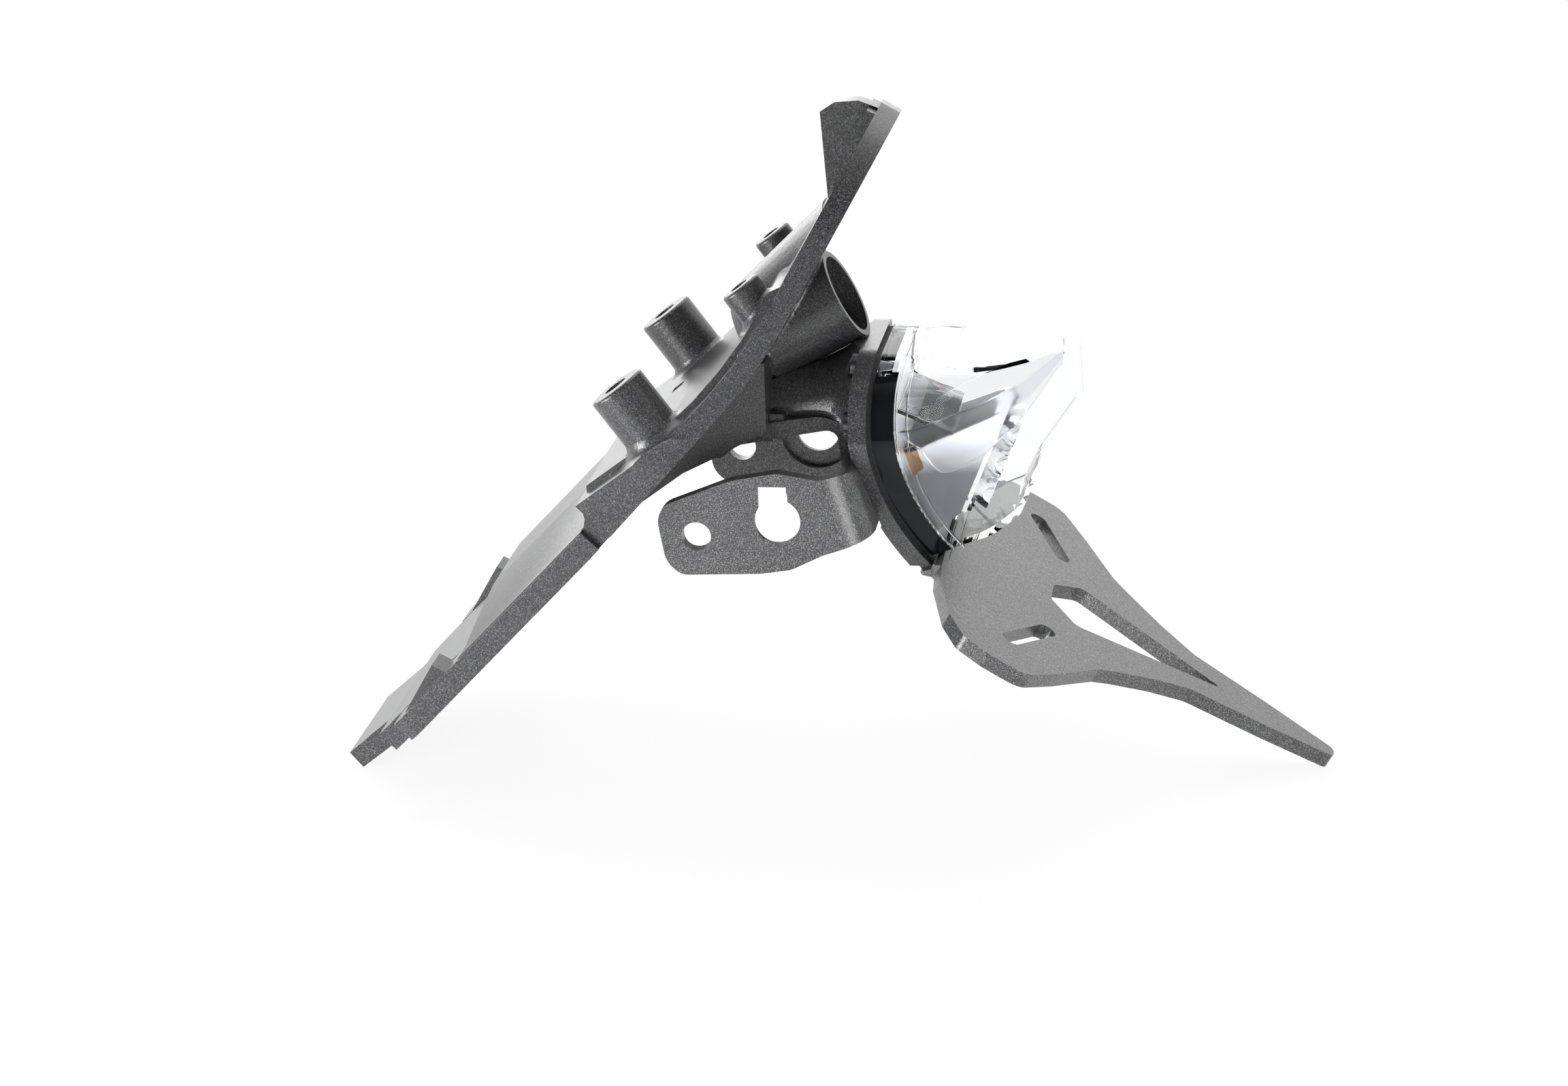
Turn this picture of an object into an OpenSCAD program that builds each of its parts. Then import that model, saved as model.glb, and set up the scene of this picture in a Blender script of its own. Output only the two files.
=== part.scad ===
// Tail tidy for a motorbike: cast under-tail bracket, lamp bracket, folded
// indicator bracket, number plate hanger and a clear LED tail lamp.
// Millimetres, +Z up, +X to the rear, Y = 0 is the mid plane.
// The part stands on the tongue of the main bracket and the tip of the hanger.

/* [Main bracket] */
// Thickness of the cast plate
plate_t = 7.2; // [5:0.1:9]
// Thickness of the lower deck
deck_t = 8.2; // [7.4:0.1:9.6]
// Slope of the lower deck above the ground
deck_angle = 45.8; // [42:0.1:48]
// Slope of the tongue above the ground
tongue_angle = 40.6; // [36:0.1:44]
// Slope of the upper plate above the ground
upper_angle = 60.5; // [57:0.1:64]
// Half width of the deck at its sides
deck_hw = 59.5; // [56:0.5:64]
// Half width of the tongue
tongue_hw = 27; // [22:0.5:32]
// Length of the tongue beyond the step
tongue_len = 20.4; // [15:0.2:26]
// Distance from the step down to the side tips, along the deck
step_len = 19.5; // [14:0.5:24]
// Length of the deck from the side tips to the shoulder
deck_len = 102.5; // [96:0.5:110]
// Height of the shoulder over the deck
shoulder_h = 7.8; // [5:0.2:10]
// Length of the flat shoulder
shoulder_len = 26.5; // [22:0.5:32]
// Radius of the bend between the shoulder and the upper plate
bend_r = 154; // [140:1:170]
// Length of the upper plate from the bend to its end
upper_len = 69.5; // [64:0.5:76]
// Radius of the rounded upper end
end_r = 46; // [42:0.5:50]
// Rise of the crown at the middle of the deck
crown_h = 7.6; // [4:0.2:8]
// Height of the raised pad that the bosses stand on
pad_h = 2.2; // [1:0.2:4]
// Half width of that pad
pad_hw = 50; // [46:0.5:54]

/* [Catches] */
// Height of a catch over the deck
catch_h = 5; // [3:0.5:7]
// Length of a catch
catch_len = 21.5; // [16:0.5:25]
// Width of a catch
catch_w = 11.6; // [8:0.2:13]
// Distance of a catch from the side of the deck
catch_edge = 3.2; // [2:0.2:5]
// Width of the slots beside the catches
catch_gap = 2.2; // [1.5:0.1:3]

/* [Mounting bosses] */
// Outer diameter of the two large bosses
boss_d = 20; // [17:0.5:24]
// Bore of the two large bosses
boss_bore = 8.5; // [6.5:0.1:10.5]
// Distance between the two large bosses, centre to centre
boss_span = 93; // [88:0.5:95]
// Height of the large bosses over the shoulder
boss_h = 23.5; // [19:0.5:28]
// Outer diameter of the two small bosses
stud_d = 14; // [12:0.5:17]
// Bore of the two small bosses
stud_bore = 6.5; // [5:0.1:8]
// Distance between the two small bosses, centre to centre
stud_span = 71.2; // [66:0.4:76]
// Height of the small bosses over the plate
stud_h = 13.5; // [10:0.5:17]
// Slope above the ground that the bosses stand square to
boss_tilt = 36; // [32:0.5:39]

/* [Pod tube] */
// Outer diameter of the pod tube at its rim
pod_d = 32; // [29:0.5:35]
// Wall of the pod tube
pod_wall = 2; // [1.6:0.1:3]
// Slope of the pod tube's axis above the ground
pod_angle = 28; // [25:0.5:31]
// Largest radius of the hood on the other side of the plate
hood_r = 31; // [28:0.5:33]

/* [Lamp bracket] */
// Radius of the bowed seat behind the lamp
bow_r = 98.6; // [94:0.2:103]
// Thickness of the flange behind the lamp
flange_t = 6; // [5:0.5:8]
// Margin of the flange outside the lamp
flange_margin = 3; // [2:0.5:4]
// Radius of the neck where it meets the main bracket
neck_r = 14; // [13:0.5:15.5]
// Wall of the neck
neck_wall = 3; // [2.4:0.2:4]
// Thickness of the cheeks beside the neck
cheek_t = 5; // [4:0.5:6]

/* [Lamp] */
// Half width of the lamp at its widest
lamp_hw = 40; // [37:0.5:42]
// Half width of the lamp at its foot
foot_hw = 21; // [18:0.5:24]
// Distance from the widest place down to the foot
foot_drop = 46; // [43:0.5:49]
// Height of the arched top over the widest place
arch_h = 25; // [22:0.5:28]
// Depth of the black housing
housing_depth = 7.4; // [6:0.2:10]
// Thickness of the gasket
gasket_t = 1.6; // [1:0.1:2.2]
// Wall of the lens
lens_wall = 2; // [1.6:0.1:2.6]
// Slope of the lamp's axis above the ground
lamp_angle = 22; // [20:0.5:24]
// Diameter of a reflector bowl
bowl_d = 11.5; // [10:0.5:12.5]
// Width of a tail light emitter
led_w = 3.5; // [2.8:0.1:5]

/* [Indicator bracket] */
// Thickness of the folded plate
arm_t = 4.8; // [4:0.1:5.6]
// Distance between the outer faces of the two arms
arm_span = 104; // [100:0.5:108]
// Diameter of the indicator holes
indicator_hole = 10; // [8:0.1:11]
// Diameter of the round end of the keyholes
keyhole_d = 15.6; // [13:0.2:17]
// Width of the slot end of the keyholes
keyhole_slot = 9.6; // [8:0.2:11]
// Diameter of the thinned ring round each keyhole
recess_d = 26.8; // [24:0.4:29]
// Thickness left inside that ring
web_t = 1.8; // [1.4:0.1:2.6]

/* [Plate hanger] */
// Thickness of the hanger
hanger_t = 5.3; // [4.5:0.1:6]
// Slope of the hanger below the ground line
hanger_angle = 30.6; // [29:0.1:32]
// Half width of the hanger at its widest
hanger_hw = 84; // [80:0.5:88]
// Distance from the hanger's reference point to the tip
hanger_tip = 119.4; // [114:0.4:124]
// Distance of the slots' middle from the mid plane
slot_y = 49.2; // [46:0.4:53]
// Width of the plate slots
slot_w = 6.5; // [5:0.1:7.5]
// Length of the plate slots between the centres of their ends
slot_len = 27; // [22:0.5:30]
// Half width of the upturned tab behind the flange
tab_hw = 20; // [18:0.5:21]

/* [Fasteners] */
// Thread diameter of the bolts between the two castings
joint_bolt = 5; // [4:0.5:5.5]
// Thread diameter of the bolts that hold the hanger and the arms
clamp_bolt = 5; // [4:0.5:6]
// Thread diameter of the lamp screws
lamp_screw = 4; // [3:0.5:4.5]
// Thread diameter of the screws of the circuit board
board_screw = 2.5; // [2:0.1:3]
// Gap round a bolt in its hole
bolt_gap = 0.25; // [0.15:0.05:0.4]
// Gap between pieces that pass each other
piece_gap = 0.3; // [0.2:0.05:0.5]
// Outer diameter of the cable grommet
grommet_d = 10; // [8:0.5:12]

/* [Hidden] */

$fn = 48;
black = [0.13, 0.13, 0.14];
steel = [0.62, 0.63, 0.65];
clear_grey = [0.82, 0.84, 0.86, 0.45];

// Point reached from p by going s along the slope a and n square to it
function go(p, a, s, n = 0) = [p.x + s * cos(a) - n * sin(a), p.y + s * sin(a) + n * cos(a)];
function unit(v) = v / norm(v);
// Points of a rounded corner b between its neighbours a and c
function bend(a, b, c, r, k) =
    let (u = unit(a - b), v = unit(c - b), h = acos(u * v) / 2,
        o = b + unit(u + v) * (r / sin(h)), f = b + u * (r / tan(h)), g = b + v * (r / tan(h)),
        a0 = atan2(f.y - o.y, f.x - o.x), a1 = atan2(g.y - o.y, g.x - o.x),
        d = a1 - a0 > 180 ? a1 - a0 - 360 : a1 - a0 < -180 ? a1 - a0 + 360 : a1 - a0)
    [for (i = [0:k]) o + r * [cos(a0 + d * i / k), sin(a0 + d * i / k)]];
// Outline with its corners rounded, each point given as [x, y, radius]
function rounded(p, k = 4) = let (n = len(p), q = [for (i = p) [i.x, i.y]])
    [for (i = [0:n - 1]) each (p[i].z > 0 ? bend(q[(i + n - 1) % n], q[i], q[(i + 1) % n], p[i].z, k) : [q[i]])];
// Outline completed by its mirror image
function both(p) = concat(p, [for (i = [len(p) - 1:-1:0]) [p[i].x, -p[i].y, p[i].z]]);
function both_x(p) = concat(p, [for (i = [len(p) - 1:-1:0]) [-p[i].x, p[i].y, p[i].z]]);

// Side outline (X, Z) given a width across Y
module side(w) rotate([90, 0, 0]) linear_extrude(w, center = true) children();
// Side outline on both sides of the mid plane, from |Y| = a to b
module cheeks(a, b) for (m = [0, 1]) mirror([0, m, 0]) translate([0, b, 0]) rotate([90, 0, 0]) linear_extrude(b - a) children();
// Front outline (Y, Z) given a depth from x0 to x1
module front(x0, x1) translate([x0, 0, 0]) rotate([90, 0, 90]) linear_extrude(x1 - x0) children();
// Frame with its X axis along the slope a in the mid plane
module at(p, a) translate([p.x, 0, p.y]) rotate([0, -a, 0]) children();
module two(y) for (s = [-1, 1]) translate([0, s * y, 0]) children();

// Main bracket: places on its side outline. The part stands on the lower of the tongue and the hanger's tip.
function bend_from(p) = go(go(go(go(p, deck_angle, deck_len, shoulder_h), boss_tilt, shoulder_len), boss_tilt, 0, bend_r), upper_angle, 0, -bend_r);
neck_drop = 43.7;
wide_drop = 3.5;
hanger_out = 35.65;
hanger_drop = 17.43;
deck_rise = max(step_len * sin(deck_angle) + tongue_len * sin(tongue_angle) + plate_t * cos(tongue_angle),
    hanger_tip * sin(hanger_angle) + hanger_t * cos(hanger_angle) + hanger_drop + foot_drop + wide_drop + neck_drop - bend_from([0, 0]).y);
deck_tip = [-145, deck_rise];
step = go(deck_tip, deck_angle, -step_len);
tongue_tip = go(step, tongue_angle, -tongue_len);
shoulder = go(deck_tip, deck_angle, deck_len, shoulder_h);
bend_0 = go(shoulder, boss_tilt, shoulder_len);
bend_c = go(bend_0, boss_tilt, 0, bend_r);
bend_1 = go(bend_c, upper_angle, 0, -bend_r);
upper_end = go(bend_1, upper_angle, upper_len);
function on_bend(r, a0, a1, k = 6) = [for (i = [0:k]) go(bend_c, a0 + (a1 - a0) * i / k, 0, -r)];
boss_foot = go(shoulder, boss_tilt, shoulder_len + 6.6);
stud_foot = go(bend_1, upper_angle, -5.4);

// Pod tube, hood, gusset and the face that the lamp bracket is bolted to
pod_at = go(bend_1, 0, 20.8, -5.8);
joint_x = bend_1.x - 4.6;
neck_z = bend_1.y - neck_drop;
gusset_hw = 26;
cheek_y = 20;

// Lamp seat: a bow about an axis across the part
seat_x = joint_x + 30;
wide_z = neck_z - wide_drop;
bow = [seat_x + bow_r, neck_z + 4.5];
r_flange = bow_r - flange_t;
r_gasket = r_flange - gasket_t;
r_housing = r_gasket - housing_depth;
foot_z = wide_z - foot_drop;
function bow_x(r, z) = bow.x - sqrt(r * r - (z - bow.y) * (z - bow.y));
foot_at = [bow_x(r_gasket, foot_z), foot_z];
function lamp_front(m) = rounded(both_x([[foot_hw + 0.8 * m, foot_z - m, 0], [lamp_hw + m, wide_z, 5],
    [0.85 * (lamp_hw + m), wide_z + 0.72 * (arch_h + 0.6 * m), 14], [0.5 * (lamp_hw + m), wide_z + arch_h + 0.6 * m, 16]]));

// Hanger, with its reference point on the top face
hanger_at = foot_at + [hanger_out, -hanger_drop];
tab_mid = [bow_x(r_gasket, foot_z + 5), foot_z + 5];
tab_angle = 90 + asin((bow.y - tab_mid.y) / r_gasket);
tab_seat = go(tab_mid, tab_angle, 0, 0.5);

// Indicator bracket: the fold behind the flange
fold_hole = neck_r + 14;
fold_mid = [bow_x(bow_r, neck_z - 23), neck_z - 23];
fold_angle = 90 + asin((bow.y - fold_mid.y) / bow_r);
fold_seat = go(fold_mid, fold_angle, 0, -1.6);
arm_y = arm_span / 2;

// Lamp inside
lamp_at = [bow_x(r_gasket, wide_z), wide_z];
board_t = 1.6;
board_hw = 16;
board_hh = 19;
core_at = [lamp_at.x + 36, wide_z - 14];
core_angle = -lamp_angle;
led_pitch = 12;
led_y = 8;
bezel_t = 1.6;
r_bezel = r_housing + 2.4;

module plate_side() polygon(concat(
    [tongue_tip, step, deck_tip],
    [for (i = [0:4]) go(deck_tip, deck_angle, deck_len - shoulder_h + shoulder_h * sin(22.5 * i), shoulder_h * (1 - cos(22.5 * i)))],
    on_bend(bend_r, boss_tilt, upper_angle),
    [upper_end, go(upper_end, upper_angle, 0, -plate_t)],
    on_bend(bend_r + plate_t, upper_angle, deck_angle, 5),
    [go(deck_tip, deck_angle, deck_len - 11, -deck_t), go(step, deck_angle, 0, -deck_t),
        go(tongue_tip, tongue_angle, 0, -plate_t)]));

module crown_side() polygon(concat(
    [go(deck_tip, deck_angle, 26, -1), go(deck_tip, deck_angle, 28)],
    [for (i = [0:4]) go(deck_tip, deck_angle, 30 + 5 * i, crown_h * (1 - cos(45 * i)) / 2)],
    [go(shoulder, deck_angle, 0.5, crown_h - shoulder_h), go(shoulder, deck_angle, 3, -3), go(shoulder, deck_angle, 3, -shoulder_h - 1)]));

module pad_side() polygon(concat([go(shoulder, boss_tilt, 2, -1), go(shoulder, boss_tilt, 4, pad_h)],
    on_bend(bend_r - pad_h, boss_tilt, upper_angle, 5), [go(bend_1, upper_angle, 6, pad_h), go(bend_1, upper_angle, 9, 0)],
    on_bend(bend_r + 1, upper_angle, boss_tilt, 3)));

module deck_plan() polygon(rounded(both([[-step_len - 30, tongue_hw, 0], [-step_len, tongue_hw, 2],
    [-step_len, deck_hw - catch_edge - catch_w - catch_gap - 1.6, 0], [-step_len + 5, deck_hw - catch_edge - catch_w - catch_gap, 3],
    [catch_len + 3.5, deck_hw - catch_edge - catch_w - catch_gap, 0], [catch_len + 3.5, deck_hw - catch_edge - catch_w, 0],
    [-4.8, deck_hw - catch_edge - catch_w, 0], [-4.8, deck_hw - 2.5, 1.5], [0.3, deck_hw, 3], [deck_len + 60, deck_hw, 0]])));

module upper_plan() polygon(rounded(both(concat([[-90, deck_hw, 0], [-62, deck_hw, 40], [0, deck_hw - 9, 60]],
    [for (i = [0:6]) [upper_len - end_r + end_r * sin(12 * i + 8), end_r * cos(12 * i + 8), 0]], [[upper_len, 0.5, 0]]))));

module deck_frame() at(deck_tip, deck_angle) children();
module upper_frame() at(bend_1, upper_angle) children();
module boss_at_l() two(boss_span / 2) at(boss_foot, boss_tilt) children();
module boss_at_s() two(stud_span / 2) at(stud_foot, boss_tilt) children();

module boss_body(d, h, f) rotate_extrude() polygon(rounded([[0, -3, 0], [d / 2 + f + 2, -3, 0], [d / 2 + f, 0, 0],
    [d / 2 + 0.25 * f, 0.3 * f, 0], [d / 2, f, 0], [d / 2, h, 1.2], [0, h, 0]], 3));

module gusset() {
    low = [for (p = [[-57, -41.5], [-44, -30], [-29.5, -19.5], [-17.5, -13.5], [0, -4]]) [joint_x + p.x, neck_z + p.y]];
    // side webs and middle rib
    for (w = [[gusset_hw - 5, gusset_hw], [-2, 2]]) for (m = [0, 1]) mirror([0, m, 0]) translate([0, w[1], 0]) rotate([90, 0, 0])
        linear_extrude(w[1] - w[0]) polygon(concat(low, [[joint_x, neck_z + 17], [joint_x - 5, neck_z + 25], [joint_x - 30, neck_z + 2], [joint_x - 62, neck_z - 32]]));
    // end wall
    translate([joint_x - 6, -gusset_hw, neck_z - 4]) cube([6, 2 * gusset_hw, 24]);
    translate([joint_x - 6, 3 - cheek_y + cheek_t, neck_z - 12]) cube([6, 2 * (cheek_y - cheek_t - 3), 20]);
}

module main_bracket() color(black) difference() {
    union() {
        intersection() {
            side(2 * deck_hw) plate_side();
            union() {
                deck_frame() translate([0, 0, -40]) linear_extrude(120) intersection() { deck_plan(); translate([-60, -80]) square([60 + deck_len + 8, 160]); }
                upper_frame() translate([0, 0, -40]) linear_extrude(120) intersection() { upper_plan(); translate([-90, -80]) square([200, 160]); }
            }
        }
        intersection() {
            side(2 * deck_hw - 3) crown_side();
            at(go(deck_tip, deck_angle, 0, crown_h - (deck_hw * deck_hw + crown_h * crown_h) / (2 * crown_h)), deck_angle) rotate([0, 90, 0])
                cylinder(r = (deck_hw * deck_hw + crown_h * crown_h) / (2 * crown_h), h = 160, $fn = 160);
        }
        intersection() {
            side(2 * pad_hw) pad_side();
            upper_frame() translate([0, 0, -40]) linear_extrude(120) polygon([[-100, pad_hw], [-50, pad_hw], [10, pad_hw - 7], [10, 7 - pad_hw], [-50, -pad_hw], [-100, -pad_hw]]);
        }
        // catches
        deck_frame() for (m = [0, 1]) mirror([0, m, 0]) translate([0, deck_hw - catch_edge, 0]) rotate([90, 0, 0]) linear_extrude(catch_w)
            polygon([[1.5, -1], [1.5, 0.2], [catch_len, catch_h], [catch_len + 1.8, -1]]);
        intersection() {
            union() { boss_at_l() boss_body(boss_d, boss_h, 5); boss_at_s() boss_body(stud_d, stud_h, 3); }
            side(2 * deck_hw - 1) translate([-150, 0]) square([300, 300]);
        }
        // lug at the upper end
        side(7) polygon([go(upper_end, upper_angle, -37, -2), go(upper_end, upper_angle, -37, 0.4), go(upper_end, upper_angle, -12.2, 16.7), go(upper_end, upper_angle, -6.9, 13.9),
            go(upper_end, upper_angle, -2.4, 7.1), go(upper_end, upper_angle, -1, -2)]);
        side(19) polygon([go(upper_end, upper_angle, -30, -2), go(upper_end, upper_angle, -30, 0), go(upper_end, upper_angle, -10, 4.5), go(upper_end, upper_angle, -2.5, 3), go(upper_end, upper_angle, -2, -2)]);
        // pod tube and its hood
        intersection() {
            at(pod_at, pod_angle) rotate([0, 90, 0]) translate([0, 0, -34]) cylinder(d = pod_d, h = 34, $fn = 64);
            side(2 * pod_d) polygon([go(bend_1, upper_angle, -60, -2), go(bend_1, upper_angle, 60, -2), go(bend_1, upper_angle, 60, -60), go(bend_1, upper_angle, -60, -60)]);
        }
        intersection() {
            at(pod_at, pod_angle) rotate([0, 90, 0]) translate([0, 0, -37]) union() {
                translate([0, 0, 4]) cylinder(r1 = hood_r - 11, r2 = hood_r + 1, h = 42, $fn = 72);
                cylinder(r1 = hood_r - 15, r2 = hood_r - 11, h = 4, $fn = 72);
            }
            side(4 * hood_r) polygon([go(bend_1, upper_angle, -70, -2), go(bend_1, upper_angle, 60, -2), go(bend_1, upper_angle, 60, 60), go(bend_1, upper_angle, -70, 60)]);
        }
        gusset();
    }
    // bores
    boss_at_l() translate([0, 0, -40]) cylinder(d = boss_bore, h = 100);
    boss_at_s() translate([0, 0, -40]) cylinder(d = stud_bore, h = 100);
    at(pod_at, pod_angle) rotate([0, 90, 0]) translate([0, 0, -32]) cylinder(d = pod_d - 2 * pod_wall, h = 60, $fn = 64);
    // room for the cheeks of the lamp bracket, its bolts and the cable
    two(cheek_y - cheek_t / 2) translate([joint_x - 40, -cheek_t / 2 - 0.3, neck_z - 40]) cube([41, cheek_t + 0.6, 40]);
    joint_places() translate([0, 0, -20]) cylinder(d = joint_bolt, h = 30);
    translate([joint_x - 10, 0, neck_z + 6.5]) rotate([0, 90, 0]) cylinder(d = 5, h = 20);
}

module joint_places() two(6) translate([joint_x, 0, neck_z - 1]) rotate([0, 90, 0]) children();

module neck_shape(d) rotate([0, 90, 0]) rotate_extrude($fn = 72) polygon(concat(
    [[0, 0]], [for (p = [[0, 0], [6, 0.6], [11.5, 1.5], [16, 2.6], [21.5, 4.2], [25, 6.2], [27.5, 8.6], [30, 12.5], [35, 17]]) [neck_r + p.y - d, p.x]], [[0, 35]]));

module lamp_bracket() color(black) difference() {
    union() {
        // flange: the slice of the bow under the lamp
        intersection() {
            lamp_prism(flange_margin, joint_x + 10, seat_x + 60);
            translate([bow.x, 0, bow.y]) rotate([90, 0, 0]) difference() { cylinder(r = bow_r, h = 120, center = true, $fn = 180); cylinder(r = r_flange, h = 130, center = true, $fn = 180); }
        }
        // trumpet neck
        intersection() {
            translate([joint_x, 0, neck_z]) neck_shape(0);
            translate([joint_x - 1, -60, neck_z - 3]) cube([80, 120, 80]);
            translate([bow.x, 0, bow.y]) rotate([90, 0, 0]) { difference() { cylinder(r = 2 * bow_r, h = 120, center = true); cylinder(r = r_flange, h = 130, center = true, $fn = 180); } }
            lamp_prism(flange_margin, joint_x, seat_x + 60);
        }
        // end wall between the cheeks
        translate([joint_x, -cheek_y + 1, neck_z - 9]) cube([5, 2 * cheek_y - 2, 9]);
        // cheeks with an arch between the gusset and the flange
        intersection() {
            cheeks(cheek_y - cheek_t, cheek_y) polygon(rounded([[joint_x - 20, neck_z - 18, 2], [joint_x - 11, neck_z - 11, 0], [joint_x + 10, neck_z - 7, 0], [joint_x + 23.6, neck_z - 4.6, 4],
                [joint_x + 25.5, neck_z - 26, 1], [joint_x + 45, neck_z - 26, 0], [joint_x + 45, neck_z - 5, 0], [joint_x + 26.5, neck_z - 3, 3], [joint_x + 18, neck_z - 0.2, 12], [joint_x, neck_z - 2.8, 0], [joint_x - 20, neck_z - 12, 2]]));
            translate([bow.x, 0, bow.y]) rotate([90, 0, 0]) difference() { cylinder(r = 2 * bow_r, h = 120, center = true); cylinder(r = r_flange, h = 130, center = true, $fn = 180); }
        }
    }
    // hollow of the neck, open below, with an end wall left for the bolts
    intersection() {
        difference() { translate([joint_x, 0, neck_z]) neck_shape(neck_wall); pod_space(piece_gap + neck_wall); }
        translate([joint_x + 5, -60, 0]) cube([26.5, 120, 300]);
    }
    pod_space(piece_gap);
    translate([seat_x - 5, 0, neck_z + 2]) rotate([0, 90, 0]) cylinder(d = grommet_d + 2 * piece_gap, h = 20);
    joint_places() translate([0, 0, -1]) cylinder(d = joint_bolt + 2 * bolt_gap, h = 8);
    translate([joint_x - 10, 0, neck_z + 6.5]) rotate([0, 90, 0]) cylinder(d = 5, h = 20);
    tab_cut();
    fold_cut();
    fold_places() translate([0, 0, -4]) cylinder(d = clamp_bolt, h = 12);
    tab_places() cylinder(d = clamp_bolt, h = 12);
    lamp_screw_places() { translate([0, 0, -20]) cylinder(d = lamp_screw + 2 * bolt_gap, h = 40); translate([0, 0, -20]) cylinder(d = 2 * lamp_screw + 2, h = 20.5); }
}

// Everything under the lamp's outline grown by m, its foot cut square to the seat
module lamp_prism(m, x0, x1) intersection() {
    front(x0, x1) polygon(lamp_front(m));
    side(200) polygon([go(foot_at, lamp_angle, -90, -m), go(foot_at, lamp_angle, 160, -m), [foot_at.x + 150, 400], [foot_at.x - 90, 400]]);
}
// Room for the pod tube, and its wall, over the neck
module pod_space(m) at(pod_at, pod_angle) rotate([0, 90, 0]) translate([0, 0, -60]) cylinder(r = pod_d / 2 + m, h = 60 + m, $fn = 64);
// Pocket in the front of the flange for the hanger's tab, and the flat on its rear for the folded bracket
module tab_cut() at(tab_seat, tab_angle) translate([-30, -tab_hw - 0.3, -8]) cube([30 + 6.5, 2 * tab_hw + 0.6, 8 + hanger_t]);
module fold_cut() intersection() {
    at(fold_seat, fold_angle) translate([-14.5, -60, 0]) cube([28.6, 120, 20]);
    difference() { translate([0, -60, 0]) cube([60, 120, 200]); translate([0, 0, neck_z]) rotate([0, 90, 0]) cylinder(r = fold_hole - 0.4, h = 60, $fn = 72); }
}

// Places of the bolts behind the flange, Z pointing away from it, and of the countersunk screws in the hanger's tab
module fold_places() two(25) at(fold_seat, fold_angle) translate([-8.5, 0, 0]) children();
module tab_places() two(12) at(tab_seat, tab_angle) translate([0.5, 0, 0]) children();
// Places of the lamp screws, Z pointing into the lamp
module lamp_screw_places() for (p = [[lamp_hw / 2 - 1, wide_z + arch_h - 3.4], [lamp_hw - 5.3, wide_z + 5.5]]) two(p[0]) translate([bow_x(bow_r, p[1]), 0, p[1]])
    rotate([0, 90 + asin((p[1] - bow.y) / bow_r), 0]) children();

module joint_bolts() color(steel) joint_places() difference() {
    rotate_extrude() polygon([[0, -10], [joint_bolt / 2, -10], [joint_bolt / 2, 6], [0.8 * joint_bolt, 6], [0.8 * joint_bolt, 5.5 + joint_bolt], [0.7 * joint_bolt, 6 + joint_bolt], [0, 6 + joint_bolt]]);
    translate([0, 0, 6 + joint_bolt * 0.5]) cylinder(d = 0.9 * joint_bolt, h = joint_bolt, $fn = 6);
}
module joint_washers() color(steel) joint_places() translate([0, 0, 5]) difference() { cylinder(d = 1.9 * joint_bolt, h = 1); translate([0, 0, -1]) cylinder(d = joint_bolt, h = 3); }

module arm_side() difference() {
    polygon(rounded([[-53, -28, 8], [-50.6, -42.5, 9], [-45.5, -47.1, 6], [-18, -46.2, 20], [-7.8, -44.6, 8], [3, -39.3, 12], [21.6, -33, 4], [24, -26.4, 2],
        [12.2, -11.2, 3], [1.5, -12.8, 8], [-12, -10.4, 14], [-28, -13.4, 20], [-51.2, -22.6, 7]]));
    translate([-39.8, -33.2]) circle(d = indicator_hole);
    translate([-12, -27.4]) circle(d = keyhole_d);
    translate([-12 - 1.6 - keyhole_slot / 2, -27.4]) square([keyhole_slot, 12.1]);
}

// The bracket is one plate folded to a U: its side outline cut from a U across the part
module indicator_bracket() color(black) difference() {
    intersection() {
        at(fold_seat, fold_angle) rotate([90, 0, 90]) translate([0, 0, -70]) linear_extrude(140) polygon(concat(
            rounded([[-arm_y, 100, 0], [-arm_y, 0, 11], [arm_y, 0, 11], [arm_y, 100, 0], [arm_y - arm_t, 100, 0],
                [arm_y - arm_t, arm_t, 11 - arm_t], [arm_t - arm_y, arm_t, 11 - arm_t], [arm_t - arm_y, 100, 0]], 6)));
        translate([joint_x + 18.9, 0, neck_z]) side(2 * arm_y + 1) arm_side();
    }
    translate([joint_x + 18.9, 0, neck_z]) {
        two(arm_y) translate([-39.8, 0, -33.2]) rotate([90, 0, 0]) cylinder(d = indicator_hole, h = 30, center = true);
        two(arm_y) translate([-12, 0, -27.4]) rotate([90, 0, 0]) cylinder(d = keyhole_d, h = 30, center = true);
        two(arm_y) translate([-13.2, 0, -27.4]) rotate([90, 0, 0]) linear_extrude(30, center = true)
            polygon(rounded([[-keyhole_slot / 2, 0, 0], [keyhole_slot / 2, 0, 0], [keyhole_slot / 2, 11.1, 2], [-keyhole_slot / 2, 11.1, 2]]));
        translate([-12, 0, -27.4]) rotate([90, 0, 0]) cylinder(d = recess_d, h = 2 * (arm_y - web_t), center = true);
    }
    translate([0, 0, neck_z]) rotate([0, 90, 0]) cylinder(r = fold_hole, h = 60, $fn = 72);
    fold_places() translate([0, 0, -1]) cylinder(d = clamp_bolt + 2 * bolt_gap, h = 12);
}

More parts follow.
